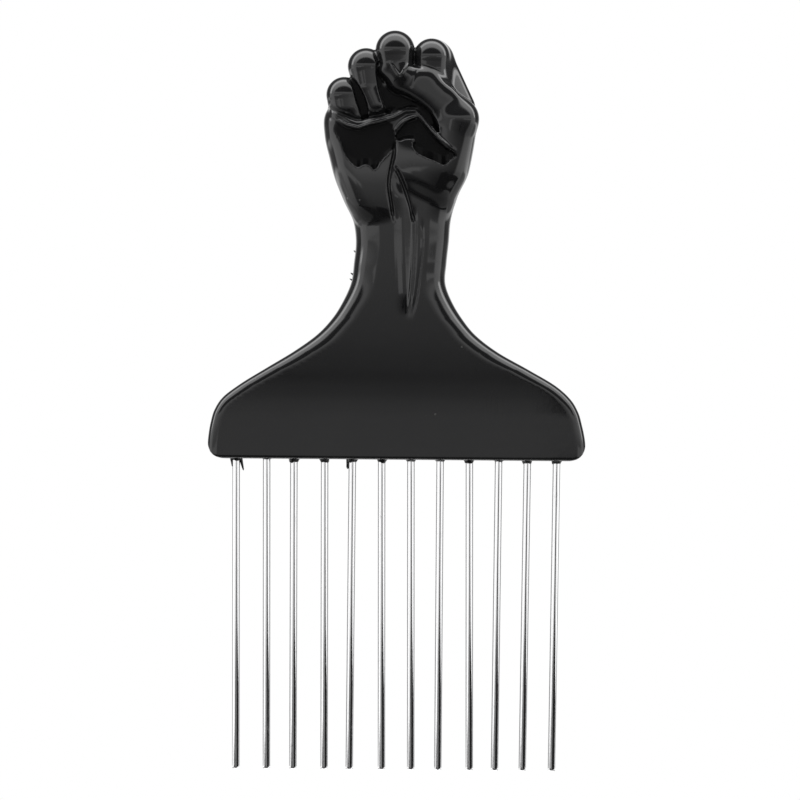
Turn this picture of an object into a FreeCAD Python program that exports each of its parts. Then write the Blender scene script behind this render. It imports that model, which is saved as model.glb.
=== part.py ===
"""A raised-fist hair pick: a two-part hollow plastic handle that traps a row of steel tines.

The tines point down: +Z runs up towards the knuckles and the palm faces -Y.
The origin is the middle of the wrist, where the hand holds it. All sizes are in millimetres.
"""
import FreeCAD, Part
import math
import os
import Sketcher

Vector = FreeCAD.Vector
doc = FreeCAD.newDocument("hair_pick")

# Edges this close to a level count as lying on it
LEVEL = 0.01
# Where two stretches of a limb share a joint, the second one's ball lies just inside the first one's
NESTED = 0.98
# Smallest corner radius of a section, and the least flat left beside its corners
LEAST_CORNER = 0.3
LEAST_FLAT = 0.2

# Single sizes
SIZES = {
    "grip_rise": 33.0,
    "end_margin": 6.54,
    "foot_round": 2.0,
    "wall": 2.4,
    "tine_count": 12,
    "tine_pitch": 6.92,
    "tine_radius": 0.9,
    "tine_free_length": 73.5,
    "tine_root_length": 13.5,
    "tine_tip_round": 0.55,
    "root_swell": 0.2,
    "root_swell_start": 0.3,
    "ring_groove_depth": 0.3,
    "ring_groove_width": 1.6,
    "ring_groove_spacing": 5.0,
    "ring_groove_start": 2.5,
    "seat_clearance": 0.02,
    "peg_radius": 1.5,
    "peg_length": 2.6,
    "peg_clearance": 0.1,
    "rail_peg_pitches": 1.5,
    "rail_peg_rise": 3.7,
    "crown_peg_drop": 2.9,
    "knuckle_back": 5.6,
    "knuckle_front": 4.6,
    "knuckle_growth": 0.2,
    "bone_foot_height": 13.5,
    "bone_foot_back": 3.4,
    "bone_foot_radius": 4.4,
    "bone_foot_pitch": 3.9,
    "bone_foot_shift": 0.5,
    "flank_radius": 4.2,
    "flank_foot_across": 13.0,
    "flank_foot_height": 35.5,
    "flank_foot_radius": 4.5,
}

# Cross sections of the base, round the tine roots: share of the way up the roots,
# and share of the way out from the wrist's half width to the base's
BASE_SHARES = {
    "foot": (0.0, 1.0),
    "side": (0.37, 0.994),
    "upper_side": (0.7, 0.97),
}

# Cross sections of the flare: share of the way up from the tops of the roots to the wrist, and out
FLARE_SHARES = {
    "shoulder": (-0.01, 0.923),
    "slope_top": (0.106, 0.804),
    "slope": (0.233, 0.605),
    "slope_end": (0.361, 0.386),
    "flare": (0.512, 0.202),
    "neck": (0.7, 0.065),
}

# Half depth and corner radius of each section of the base and the flare
DEPTHS = {
    "foot": (4.4, 2.6),
    "side": (4.5, 2.6),
    "upper_side": (4.6, 2.6),
    "shoulder": (4.7, 2.6),
    "slope_top": (4.8, 2.8),
    "slope": (5.0, 3.0),
    "slope_end": (5.3, 3.4),
    "flare": (5.9, 4.2),
    "neck": (6.7, 5.4),
}

# Cross sections of the hand: height above the middle of the wrist, half width, half depth,
# corner radius, shift towards the thumb
HAND = {
    "wrist": (-2.5, 10.9, 7.2, 6.2, 0.4),
    "wrist_top": (7.0, 11.1, 7.6, 6.6, 0.9),
    "heel": (15.5, 12.8, 8.2, 7.0, 0.5),
    "palm": (25.5, 15.6, 8.6, 7.2, 0.3),
    "knuckles": (34.5, 16.2, 8.4, 7.2, 0.3),
    "crown": (42.5, 12.2, 6.6, 5.6, -0.4),
}
SECTIONS = (*BASE_SHARES, *FLARE_SHARES, *HAND)
HOLLOW = ("slope", "slope_end", "flare", "neck", "wrist", "wrist_top", "heel", "palm", "knuckles")

# Curled fingers: knuckle across, knuckle height, knuckle radius,
# then how far the end joint drops, drifts towards the thumb and comes forward, and its radius
FINGERS = {
    "little": (-13.0, 39.7, 4.2, 4.2, 0.0, 1.4, 4.2),
    "ring": (-7.8, 46.6, 4.2, 7.6, 1.4, 1.8, 3.2),
    "middle": (-1.1, 50.4, 4.6, 7.6, 1.8, 2.4, 3.4),
    "pointer": (7.4, 48.9, 4.3, 5.4, -0.3, 1.6, 3.9),
}

# Thumb joints from the tip to the ball: across, forward of the seam, height, radius
THUMB = {
    "thumb_tip": (5.4, 8.6, 41.9, 3.3),
    "thumb_joint": (14.2, 7.0, 34.1, 4.6),
    "thumb_root": (11.4, 5.6, 24.0, 5.1),
}

# Fleshy pads of the palm: centre across, forward of the seam and height, then their three radii
PADS = {
    "thumb_ball": (6.6, 3.2, 21.5, 9.2, 7.2, 9.4),
    "palm_heel": (-6.6, 2.4, 20.5, 7.4, 6.8, 11.0),
    "finger_pad": (-6.8, 3.4, 34.1, 10.6, 5.6, 4.4),
}

# How far each tine's tip drifts sideways, towards the thumb where positive; longer rows start again
TIP_DRIFTS = (0.72, 1.05, 0.40, 0.85, -0.12, 0.59, 0.59, 0.07, 0.60, -0.35, -0.70, -0.70)

SHARE_FIELDS = ("climb", "spread")
DEPTH_FIELDS = ("half_depth", "corner")
HAND_FIELDS = ("height", "half_width", "half_depth", "corner", "shift")
FINGER_FIELDS = ("across", "height", "radius", "drop", "drift", "forward", "end_radius")
JOINT_FIELDS = ("across", "forward", "height", "radius")
PAD_FIELDS = ("across", "forward", "height", "radius_x", "radius_y", "radius_z")

# Half the row of tines, half the base's width and the level of the underside
ROW_HALF = "((Dimensions.tine_count - 1) / 2 * Dimensions.tine_pitch)"
BASE_HALF = f"({ROW_HALF} + Dimensions.end_margin)"
UNDERSIDE = "(-Dimensions.grip_rise - Dimensions.tine_root_length)"


def fill_sheet():
    """Write every driving size into one aliased cell of the sheet."""
    rows = dict(SIZES)
    tables = (
        (BASE_SHARES, SHARE_FIELDS),
        (FLARE_SHARES, SHARE_FIELDS),
        (DEPTHS, DEPTH_FIELDS),
        (HAND, HAND_FIELDS),
        (FINGERS, FINGER_FIELDS),
        (THUMB, JOINT_FIELDS),
        (PADS, PAD_FIELDS),
    )
    for table, fields in tables:
        for name, values in table.items():
            rows.update((f"{name}_{field}", value) for field, value in zip(fields, values))
    for place in range(SIZES["tine_count"]):
        rows[f"drift_of_tine_{place + 1:02d}"] = TIP_DRIFTS[place % len(TIP_DRIFTS)]
    cells = doc.addObject("Spreadsheet::Sheet", "Dimensions")
    for row, (alias, value) in enumerate(rows.items(), 1):
        cells.set(f"A{row}", alias)
        cells.set(f"B{row}", str(value))
        cells.setAlias(f"B{row}", alias)
    doc.recompute()
    return cells


sheet = fill_sheet()


def size(alias):
    """Read one driving size as a number."""
    return float(sheet.get(alias))


def bind(target, **expressions):
    """Tie properties of an object to expressions of the sheet; two underscores stand for a dot."""
    for path, expression in expressions.items():
        target.setExpression(path.replace("__", "."), expression)


def origin_plane(body, role):
    """Find one of a body's own origin planes."""
    return next(feature for feature in body.Origin.OriginFeatures if feature.Role == role)


def new_sketch(body, name, role):
    """Attach an empty sketch to one of the body's origin planes."""
    sketch = body.newObject("Sketcher::SketchObject", name)
    sketch.AttachmentSupport = (origin_plane(body, role), [""])
    sketch.MapMode = "FlatFace"
    return sketch


def drive(sketch, name, constraint, expression):
    """Add a named constraint whose value follows the sheet."""
    index = sketch.addConstraint(constraint)
    sketch.renameConstraint(index, name)
    sketch.setExpression(f"Constraints.{name}", expression)


def section_frame(section):
    """Where one section lies: its height, half width and shift as expressions."""
    cell = f"Dimensions.{section}_"
    if section in HAND:
        return f"{cell}height", f"{cell}half_width", f"{cell}shift"
    reach = f"{cell}spread * ({BASE_HALF} - Dimensions.wrist_half_width)"
    half_width = f"(Dimensions.wrist_half_width + {reach})"
    if section in BASE_SHARES:
        return f"{UNDERSIDE} + {cell}climb * Dimensions.tine_root_length", half_width, "0"
    return f"({cell}climb - 1) * Dimensions.grip_rise", half_width, "0"


def cross_section(body, section, wall):
    """Sketch one rounded rectangle of the handle, square to its length and inset by a wall."""
    sketch = new_sketch(body, f"{body.Name}_{section}", "XY_Plane")
    height, half_width, shift = section_frame(section)
    bind(sketch, AttachmentOffset__Base__z=height)
    cell = f"Dimensions.{section}_"
    # Drawn at a handy size first; the constraints below give it the real one
    wide, deep, corner = 10.0, 5.0, 2.0
    inner_x, inner_y = wide - corner, deep - corner
    quarter = math.pi / 2
    sides = (
        ((-inner_x, -deep), (inner_x, -deep), (inner_x, -inner_y), -quarter),
        ((wide, -inner_y), (wide, inner_y), (inner_x, inner_y), 0.0),
        ((inner_x, deep), (-inner_x, deep), (-inner_x, inner_y), quarter),
        ((-wide, inner_y), (-wide, -inner_y), (-inner_x, -inner_y), 2 * quarter),
    )
    for start, end, centre, angle in sides:
        sketch.addGeometry(Part.LineSegment(Vector(*start, 0), Vector(*end, 0)))
        circle = Part.Circle(Vector(*centre, 0), Vector(0, 0, 1), corner)
        sketch.addGeometry(Part.ArcOfCircle(circle, angle, angle + quarter))
    for edge in range(8):
        sketch.addConstraint(Sketcher.Constraint("Tangent", edge, 2, (edge + 1) % 8, 1))
    for edge, way in ((0, "Horizontal"), (2, "Vertical"), (4, "Horizontal"), (6, "Vertical")):
        sketch.addConstraint(Sketcher.Constraint(way, edge))
    for arc in (3, 5, 7):
        sketch.addConstraint(Sketcher.Constraint("Equal", 1, arc))
    rounding = f"max(min({cell}corner; {cell}half_depth - {LEAST_FLAT}) - {wall}; {LEAST_CORNER})"
    drive(sketch, "corner", Sketcher.Constraint("Radius", 1, corner), rounding)
    edges = (
        ("right", "DistanceX", 2, wide, f"{shift} + {half_width} - {wall}"),
        ("left", "DistanceX", 6, -wide, f"{shift} - {half_width} + {wall}"),
        ("back", "DistanceY", 4, deep, f"{cell}half_depth - {wall}"),
        ("front", "DistanceY", 0, -deep, f"{wall} - {cell}half_depth"),
    )
    for name, kind, line, value, expression in edges:
        drive(sketch, name, Sketcher.Constraint(kind, -1, 1, line, 1, value), expression)
    return sketch


def lofted_handle(name, sections, wall="0"):
    """Loft the rounded rectangles of some sections, from the top down, into one smooth body."""
    body = doc.addObject("PartDesign::Body", name)
    sketches = [cross_section(body, section, wall) for section in sections]
    loft = body.newObject("PartDesign::AdditiveLoft", f"{name}_loft")
    loft.Profile = sketches[-1]
    loft.Sections = sketches[-2::-1]
    doc.recompute()
    return body


def handle_core():
    """The flared base, wrist and palm in one piece, with the underside's edge rounded."""
    body = lofted_handle("core", SECTIONS)
    loft = body.Tip
    lowest = loft.Shape.BoundBox.ZMin
    rim = [
        f"Edge{number}"
        for number, edge in enumerate(loft.Shape.Edges, 1)
        if edge.BoundBox.ZMax < lowest + LEVEL
    ]
    rounding = body.newObject("PartDesign::Fillet", "core_foot_round")
    rounding.Base = (loft, rim)
    bind(rounding, Radius="Dimensions.foot_round")
    doc.recompute()
    return body


def round_cone(start, end, start_radius, end_radius):
    """A solid that wraps two balls of different size in their common cone."""
    axis = end - start
    length = axis.Length
    slope = (start_radius - end_radius) / length
    across = math.sqrt(1 - slope * slope)
    halfway = math.sqrt((1 + slope) / 2)
    halfway_side = math.sqrt((1 - slope) / 2)

    def on_profile(centre, radius, along, side):
        return Vector(radius * side, 0, centre + radius * along)

    tail = on_profile(0, start_radius, -1, 0)
    tail_touch = on_profile(0, start_radius, slope, across)
    nose_touch = on_profile(length, end_radius, slope, across)
    nose = on_profile(length, end_radius, 1, 0)
    tail_side = on_profile(0, start_radius, -halfway_side, halfway)
    nose_side = on_profile(length, end_radius, halfway, halfway_side)
    profile = Part.Wire([
        Part.Arc(tail, tail_side, tail_touch).toShape(),
        Part.LineSegment(tail_touch, nose_touch).toShape(),
        Part.Arc(nose_touch, nose_side, nose).toShape(),
        Part.LineSegment(nose, tail).toShape(),
    ])
    solid = Part.Face(profile).revolve(Vector(0, 0, 0), Vector(0, 0, 1), 360)
    solid.Placement = FreeCAD.Placement(start, FreeCAD.Rotation(Vector(0, 0, 1), axis))
    return solid


def limb_part(name, joints):
    """One stretch of a finger between two joints, each given as a centre and a radius."""
    (start, start_radius), (end, end_radius) = joints
    part = doc.addObject("Part::Feature", name)
    part.Shape = round_cone(start, end, start_radius, end_radius)
    return part


def finger(place, name):
    """A curled finger: its bone up the back of the hand, a stretch over the top, one down the front."""
    across = size(f"{name}_across")
    height = size(f"{name}_height")
    radius = size(f"{name}_radius")
    front = -size("knuckle_front")
    back = Vector(across, size("knuckle_back"), height)
    top = Vector(across, front, height)
    end = top + Vector(size(f"{name}_drift"), -size(f"{name}_forward"), -size(f"{name}_drop"))
    from_middle = place - (len(FINGERS) - 1) / 2
    foot = Vector(
        from_middle * size("bone_foot_pitch") + size("bone_foot_shift"),
        size("bone_foot_back"),
        size("bone_foot_height"),
    )
    return [
        limb_part(f"{name}_knuckle", ((back, radius + size("knuckle_growth")), (top, radius))),
        limb_part(f"{name}_end", ((top, radius * NESTED), (end, size(f"{name}_end_radius")))),
        limb_part(f"{name}_bone", ((back, radius * NESTED), (foot, size("bone_foot_radius")))),
    ]


def pointer_flank():
    """The side of the pointer finger, sloping down from its knuckle to the thumb's joint."""
    knuckle = Vector(size("pointer_across"), 0, size("pointer_height"))
    foot = Vector(size("flank_foot_across"), 0, size("flank_foot_height"))
    ends = ((knuckle, size("flank_radius")), (foot, size("flank_foot_radius")))
    return limb_part("pointer_flank", ends)


def thumb():
    """The thumb, folded across the fingers from its ball to its tip."""
    joints = []
    for name in THUMB:
        centre = Vector(size(f"{name}_across"), -size(f"{name}_forward"), size(f"{name}_height"))
        joints.append((centre, size(f"{name}_radius")))
    tip, joint, root = joints
    return [
        limb_part("thumb_end", (tip, joint)),
        limb_part("thumb_shank", ((joint[0], joint[1] * NESTED), root)),
    ]


def pad(name):
    """A fleshy pad of the palm as an ellipsoid."""
    cell = f"Dimensions.{name}_"
    ball = doc.addObject("Part::Ellipsoid", name)
    bind(
        ball,
        Radius1=f"{cell}radius_z",
        Radius2=f"{cell}radius_x",
        Radius3=f"{cell}radius_y",
        Placement__Base__x=f"{cell}across",
        Placement__Base__y=f"-{cell}forward",
        Placement__Base__z=f"{cell}height",
    )
    return ball


def tine_profile(body, gap):
    """Sketch half of a tine's outline, grown by a gap, with the swell and ring grooves of its root."""
    sketch = new_sketch(body, f"{body.Name}_profile", "XZ_Plane")
    radius = f"Dimensions.tine_radius + {gap}"
    root = f"{radius} + Dimensions.root_swell"
    waist = f"{root} - Dimensions.ring_groove_depth"
    swell = f"-Dimensions.root_swell_start - {gap}"
    tip = f"-Dimensions.tine_free_length - {gap}"
    first_end = "Dimensions.ring_groove_start + Dimensions.ring_groove_width"
    second = "Dimensions.ring_groove_start + Dimensions.ring_groove_spacing"
    corners = [
        ("0", tip),
        (radius, tip),
        (radius, swell),
        (root, swell),
        (root, f"Dimensions.ring_groove_start + {gap}"),
        (waist, f"Dimensions.ring_groove_start + {gap}"),
        (waist, f"{first_end} - {gap}"),
        (root, f"{first_end} - {gap}"),
        (root, f"{second} + {gap}"),
        (waist, f"{second} + {gap}"),
        (waist, f"{second} + Dimensions.ring_groove_width - {gap}"),
        (root, f"{second} + Dimensions.ring_groove_width - {gap}"),
        (root, f"Dimensions.tine_root_length + {gap}"),
        ("0", f"Dimensions.tine_root_length + {gap}"),
    ]
    count = len(corners)
    guesses = [
        Vector(0 if across == "0" else 1, -count if up == tip else step, 0)
        for step, (across, up) in enumerate(corners)
    ]
    for step in range(count):
        sketch.addGeometry(Part.LineSegment(guesses[step], guesses[(step + 1) % count]))
    for step, (across, up) in enumerate(corners):
        guess = guesses[step]
        sketch.addConstraint(Sketcher.Constraint("Coincident", (step - 1) % count, 2, step, 1))
        if across == "0":
            sketch.addConstraint(Sketcher.Constraint("PointOnObject", step, 1, -2))
        else:
            sideways = Sketcher.Constraint("DistanceX", -1, 1, step, 1, guess.x)
            drive(sketch, f"across_{step}", sideways, across)
        upwards = Sketcher.Constraint("DistanceY", -1, 1, step, 1, guess.y)
        drive(sketch, f"up_{step}", upwards, up)
    return sketch


def tine(number, name, gap="0"):
    """One straight tine, or with a gap the tool that cuts its seat, leaning about its root."""
    body = doc.addObject("PartDesign::Body", name)
    turned = body.newObject("PartDesign::Revolution", f"{name}_turned")
    turned.Profile = tine_profile(body, gap)
    turned.ReferenceAxis = (turned.Profile[0], ["V_Axis"])
    turned.Angle = 360
    body.Placement.Rotation = FreeCAD.Rotation(Vector(0, 1, 0), 1)
    drift = f"Dimensions.drift_of_tine_{number:02d}"
    bind(
        body,
        Placement__Base__x=f"({number} - 1) * Dimensions.tine_pitch - {ROW_HALF}",
        Placement__Base__z=UNDERSIDE,
        Placement__Rotation__Angle=f"-asin({drift} / Dimensions.tine_free_length)",
    )
    doc.recompute()
    return body


def round_tip(body):
    """Round the rim of a tine's tip."""
    turned = body.Tip
    lowest = turned.Shape.BoundBox.ZMin
    rim = [
        f"Edge{number}"
        for number, edge in enumerate(turned.Shape.Edges, 1)
        if edge.BoundBox.ZMax < lowest + LEVEL and edge.BoundBox.XLength > size("tine_radius")
    ]
    rounding = body.newObject("PartDesign::Fillet", f"{body.Name}_tip_round")
    rounding.Base = (turned, rim)
    bind(rounding, Radius="Dimensions.tine_tip_round")
    doc.recompute()


def peg(name, across, height, gap):
    """A locating peg across the seam, or with a gap the tool that cuts its socket."""
    cylinder = doc.addObject("Part::Cylinder", name)
    cylinder.Placement.Rotation = FreeCAD.Rotation(Vector(1, 0, 0), 90)
    bind(
        cylinder,
        Radius=f"Dimensions.peg_radius + {gap}",
        Height=f"2 * Dimensions.peg_length + {gap}",
        Placement__Base__x=across,
        Placement__Base__y="Dimensions.peg_length",
        Placement__Base__z=height,
    )
    return cylinder


def pegs(kind, gap="0"):
    """Two pegs just above the tine roots and one in the middle knuckle."""
    rail = f"({ROW_HALF} - Dimensions.rail_peg_pitches * Dimensions.tine_pitch)"
    above_roots = "Dimensions.rail_peg_rise - Dimensions.grip_rise"
    in_knuckle = "Dimensions.middle_height - Dimensions.crown_peg_drop"
    return [
        peg(f"{kind}_left", f"-{rail}", above_roots, gap),
        peg(f"{kind}_right", rail, above_roots, gap),
        peg(f"{kind}_crown", "Dimensions.middle_across", in_knuckle, gap),
    ]


def half_space(name, side):
    """A block on one side of the seam plane, larger than the handle."""
    block = doc.addObject("Part::Box", name)
    reach = f"4 * {BASE_HALF}"
    bind(
        block,
        Length=reach,
        Width=reach,
        Height=reach,
        Placement__Base__x=f"-{reach} / 2",
        Placement__Base__y=f"-{reach}" if side == "front" else "0",
        Placement__Base__z=f"-{reach} / 2",
    )
    return block


def joined(kind, name, members):
    """Join several objects in one fuse or compound."""
    result = doc.addObject(kind, name)
    if kind == "Part::Compound":
        result.Links = members
    else:
        result.Shapes = members
    return result


def boolean(kind, name, base, tool):
    """One cut, common or fuse of two objects."""
    result = doc.addObject(kind, name)
    result.Base = base
    result.Tool = tool
    return result


def handle_halves(seats):
    """Split the hand at the seam and hollow both halves round the tine roots."""
    fingers = [part for place, name in enumerate(FINGERS) for part in finger(place, name)]
    limbs = fingers + [pointer_flank()] + thumb()
    hand = joined("Part::MultiFuse", "hand", [handle_core()] + limbs + [pad(name) for name in PADS])
    hollow = lofted_handle("hollow", HOLLOW, "Dimensions.wall")
    room = joined("Part::Compound", "room", [hollow] + seats)
    doc.recompute()
    halves = []
    for side in ("front", "rear"):
        blank = boolean("Part::Common", f"{side}_blank", hand, half_space(f"{side}_block", side))
        halves.append(boolean("Part::Cut", f"{side}_shell", blank, room))
    sockets = joined("Part::Compound", "sockets", pegs("socket", "Dimensions.peg_clearance"))
    front = boolean("Part::Cut", "handle_front", halves[0], sockets)
    rear = joined("Part::MultiFuse", "handle_rear", [halves[1]] + pegs("peg"))
    doc.recompute()
    return [front, rear]


def check(sub_parts):
    """Stop if any object failed or any sub-part is empty or invalid."""
    failed = [thing.Label for thing in doc.Objects if {"Invalid", "Error"} & set(thing.State)]
    if failed:
        raise RuntimeError(f"failed objects: {failed}")
    for part in sub_parts:
        if part.Shape.isNull() or not part.Shape.isValid() or len(part.Shape.Solids) != 1:
            raise RuntimeError(f"{part.Label} isn't one valid solid")


def main():
    numbers = range(1, int(size("tine_count")) + 1)
    tines = [tine(number, f"tine_{number:02d}") for number in numbers]
    for body in tines:
        round_tip(body)
    seats = [tine(number, f"seat_{number:02d}", "Dimensions.seat_clearance") for number in numbers]
    sub_parts = handle_halves(seats) + tines
    check(sub_parts)
    os.makedirs("parts", exist_ok=True)
    for part in sub_parts:
        part.Shape.exportStep(f"parts/{part.Label}.step")
        box = part.Shape.optimalBoundingBox()
        extents = f"{box.XLength:.2f} x {box.YLength:.2f} x {box.ZLength:.2f} mm"
        print(part.Label, f"{part.Shape.Volume:.0f} mm3", extents)


main()
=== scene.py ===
# %% [markdown]
# # A raised-fist hair pick
# The pick is a glossy black plastic handle, moulded as a fist in two halves, that holds twelve steel tines.
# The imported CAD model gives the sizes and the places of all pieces. This lesson dresses it: it sculpts the
# two halves of the handle, draws the tines, and gives each surface the finish that it has in the hand.

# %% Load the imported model
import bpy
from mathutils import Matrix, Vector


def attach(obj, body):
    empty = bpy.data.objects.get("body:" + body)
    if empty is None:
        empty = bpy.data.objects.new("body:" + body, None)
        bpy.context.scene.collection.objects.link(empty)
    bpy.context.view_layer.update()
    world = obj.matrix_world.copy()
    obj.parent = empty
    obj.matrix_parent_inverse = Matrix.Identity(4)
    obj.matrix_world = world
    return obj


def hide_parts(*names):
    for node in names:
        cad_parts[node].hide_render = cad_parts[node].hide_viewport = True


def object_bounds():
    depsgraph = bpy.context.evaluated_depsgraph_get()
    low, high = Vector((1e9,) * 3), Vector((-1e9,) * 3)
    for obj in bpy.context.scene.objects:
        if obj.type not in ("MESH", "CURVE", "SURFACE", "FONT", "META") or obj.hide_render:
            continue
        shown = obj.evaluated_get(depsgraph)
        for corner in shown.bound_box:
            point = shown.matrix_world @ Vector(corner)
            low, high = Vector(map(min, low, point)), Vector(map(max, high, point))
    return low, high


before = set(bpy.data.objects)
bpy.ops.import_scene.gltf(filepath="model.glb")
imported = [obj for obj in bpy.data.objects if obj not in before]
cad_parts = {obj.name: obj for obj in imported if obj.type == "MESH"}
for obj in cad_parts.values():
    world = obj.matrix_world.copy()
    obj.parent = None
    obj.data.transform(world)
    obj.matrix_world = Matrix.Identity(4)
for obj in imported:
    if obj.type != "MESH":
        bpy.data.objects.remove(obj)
cad_box = [list(corner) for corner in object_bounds()]

import math

import bmesh
import bpy
import numpy as np

MM = 0.001
print("CAD box in mm:", [[round(value / MM, 2) for value in corner] for corner in cad_box])

# %% [markdown]
# ## The camera
# The pick was photographed square on, from about a metre away, with its palm towards the lens. A long lens
# keeps the tines parallel. The view is set by the width that it takes in, and the lens follows from that.
# The pick leans a touch to the right in the frame, so the camera rolls by half a degree.

# %% Camera
VIEW_DISTANCE = 1.0
VIEW_WIDTH = 0.1893
VIEW_AIM = (0.77 * MM, 0.0, -32.4 * MM)
VIEW_ROLL = math.radians(0.5)
VIEW_NEAREST = 0.05


def photo_camera():
    """Make the camera that looks along +Y at the palm."""
    data = bpy.data.cameras.new("photo_camera")
    data.lens = data.sensor_width * VIEW_DISTANCE / VIEW_WIDTH
    data.clip_start = VIEW_NEAREST
    camera = bpy.data.objects.new("photo_camera", data)
    camera.location = (VIEW_AIM[0], VIEW_AIM[1] - VIEW_DISTANCE, VIEW_AIM[2])
    camera.rotation_euler = (math.pi / 2, -VIEW_ROLL, 0.0)
    bpy.context.scene.collection.objects.link(camera)
    return camera


scene = bpy.context.scene
scene.camera = photo_camera()
scene.view_settings.view_transform = "Standard"
print("lens in mm:", round(scene.camera.data.lens, 1))

# %% [markdown]
# ## Building node trees in a script
# Materials, the world and Geometry Nodes are all trees of nodes. One small helper adds a node, sets its
# options and fills its inputs, either with a value or with a link from another node's output. With it, a
# tree reads from top to bottom, like the recipe that it is.

# %% Node helpers


def add(tree, kind, inputs=None, **options):
    """Add a node with its options; inputs are named or numbered, and hold values or other outputs."""
    node = tree.nodes.new(kind)
    for name, value in options.items():
        setattr(node, name, value)
    for key, value in (inputs or {}).items():
        if isinstance(value, bpy.types.NodeSocket):
            tree.links.new(value, node.inputs[key])
        else:
            node.inputs[key].default_value = value
    return node


def calc(tree, operation, *values, clamp=False):
    """Add a Math node and return its result."""
    node = add(tree, "ShaderNodeMath", dict(enumerate(values)), operation=operation, use_clamp=clamp)
    return node.outputs[0]


def vector_calc(tree, operation, *values, **named):
    """Add a Vector Math node and return its result, which is a number for a distance or a dot product."""
    node = add(tree, "ShaderNodeVectorMath", {**dict(enumerate(values)), **named}, operation=operation)
    return node.outputs["Value" if operation in ("DISTANCE", "DOT_PRODUCT") else "Vector"]


def grey(tone):
    """A colour without a hue."""
    return (tone, tone, tone, 1.0)


def tone_ramp(tree, place, stops):
    """Turn a number from 0 to 1 into a grey that follows the stops."""
    node = add(tree, "ShaderNodeValToRGB", {"Fac": place})
    ramp = node.color_ramp
    while len(ramp.elements) < len(stops):
        ramp.elements.new(0.5)
    for element, (position, tone) in zip(ramp.elements, sorted(stops)):
        element.position = position
        element.color = grey(tone)
    return node.outputs["Color"]


def eased_step(tree, value, start, end):
    """Rise smoothly from 0 at start to 1 at end."""
    inputs = {"Value": value, "From Min": start, "From Max": end}
    node = add(tree, "ShaderNodeMapRange", inputs, interpolation_type="SMOOTHSTEP")
    return node.outputs["Result"]


print("black and white are", grey(0.0)[:3], "and", grey(1.0)[:3])

# %% [markdown]
# ## The studio
# Black gloss shows little but reflections, so the room makes the picture. A dim panel stands round the lens
# with a dark gap above it, a wide bright ring of lamps reaches from the sides over the top, and behind that
# the room is dark up to the white backdrop. Low white cards stand beside the lens and behind the little
# finger. All this could be built from lamps and cards, but a world shader that paints the zones by the
# direction of a ray gives soft edges with a few nodes. Camera rays see plain white, and so do mirror rays
# that go to the backdrop.

# %% Zones of the room
# Degrees that a ray climbs, and the grey that it meets there
FRONT_TONES = (
    (-90, 0.04), (-28, 0.05), (-17, 0.16), (-9, 0.34), (-5, 0.48), (-1.5, 0.58), (1, 0.62), (6, 0.95),
    (9, 1.15), (20, 1.1), (60, 1.0),
)
RING_TONES = (
    (-90, 0.1), (-40, 0.4), (-28, 0.8), (-20, 0.9), (-12, 1.4), (-6, 1.6), (0, 1.5), (14, 1.6), (34, 2.8),
    (90, 3.4),
)
BACK_TONES = (
    (-90, 0.1), (-40, 0.3), (-28, 0.5), (-14, 0.5), (-11, 1.8), (-7, 1.8), (-5, 0.3), (3, 0.14), (90, 0.12),
)
# How much the room and the panel are drawn in from the sides
ROOM_NARROWING, PANEL_NARROWING = 0.72, 0.55
# Degrees from the lens between which a zone gives way to the next
PANEL_EDGE, RING_EDGE, BACKDROP_EDGE = (46.0, 62.0), (107.0, 117.0), (146.0, 164.0)
# Climb between which the dark gap over the panel sets in, and its grey
GAP_CLIMB, GAP_TONE = (13.0, 18.0), 0.05
# Degrees from the lens, degrees of climb, each as rise, top, edge and fall, and the grey
LAMP_RIM = ((87, 92, 103, 107), (4, 10, 88, 90), 5.0)
# The same with degrees to the right of the lens
WHITE_CARDS = (
    ((-80, -70, -18, -10), (-3.6, -2.4, 0.0, 0.8), 1.35),
    ((-74, -64, -36, -28), (-6.6, -5.8, -3.0, -2.0), 1.35),
    ((28, 34, 72, 82), (-3.6, -2.4, 0.0, 0.8), 1.35),
    ((-122, -114, -100, -90), (-30, -22, -9, -6), 0.85),
)
print("white cards:", len(WHITE_CARDS))

# %% World


def band(tree, value, rise, top, edge, fall):
    """1 between top and edge, easing to 0 at rise and at fall."""
    return calc(tree, "MULTIPLY", eased_step(tree, value, rise, top), eased_step(tree, value, fall, edge))


def by_elevation(tree, elevation, tones):
    """A grey that depends on how many degrees a ray climbs."""
    place = calc(tree, "DIVIDE", calc(tree, "ADD", elevation, 90.0), 180.0)
    return tone_ramp(tree, place, [((degrees + 90) / 180, tone) for degrees, tone in tones])


def mix_tones(tree, factor, first, second):
    """Blend two colours."""
    inputs = {0: factor, 6: first, 7: second}
    return add(tree, "ShaderNodeMix", inputs, data_type="RGBA").outputs[2]


def lens_angle(tree, x, y, z, narrowing):
    """Degrees between a ray and the way to the lens, in a room that is drawn in from the sides."""
    drawn_in = {0: calc(tree, "MULTIPLY", x, narrowing), 1: y, 2: z}
    narrow = add(tree, "ShaderNodeCombineXYZ", drawn_in).outputs[0]
    facing = vector_calc(tree, "DOT_PRODUCT", vector_calc(tree, "NORMALIZE", narrow), (0.0, -1.0, 0.0))
    return calc(tree, "DEGREES", calc(tree, "ARCCOSINE", facing))


def shows_white(tree, mirror_share):
    """1 for rays from the lens and through clear things, and a share of that for mirror rays."""
    path = add(tree, "ShaderNodeLightPath").outputs
    mirrored = calc(tree, "MULTIPLY", path["Is Glossy Ray"], mirror_share)
    seen = calc(tree, "MAXIMUM", path["Is Camera Ray"], mirrored)
    return calc(tree, "MAXIMUM", seen, path["Is Transmission Ray"])


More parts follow.
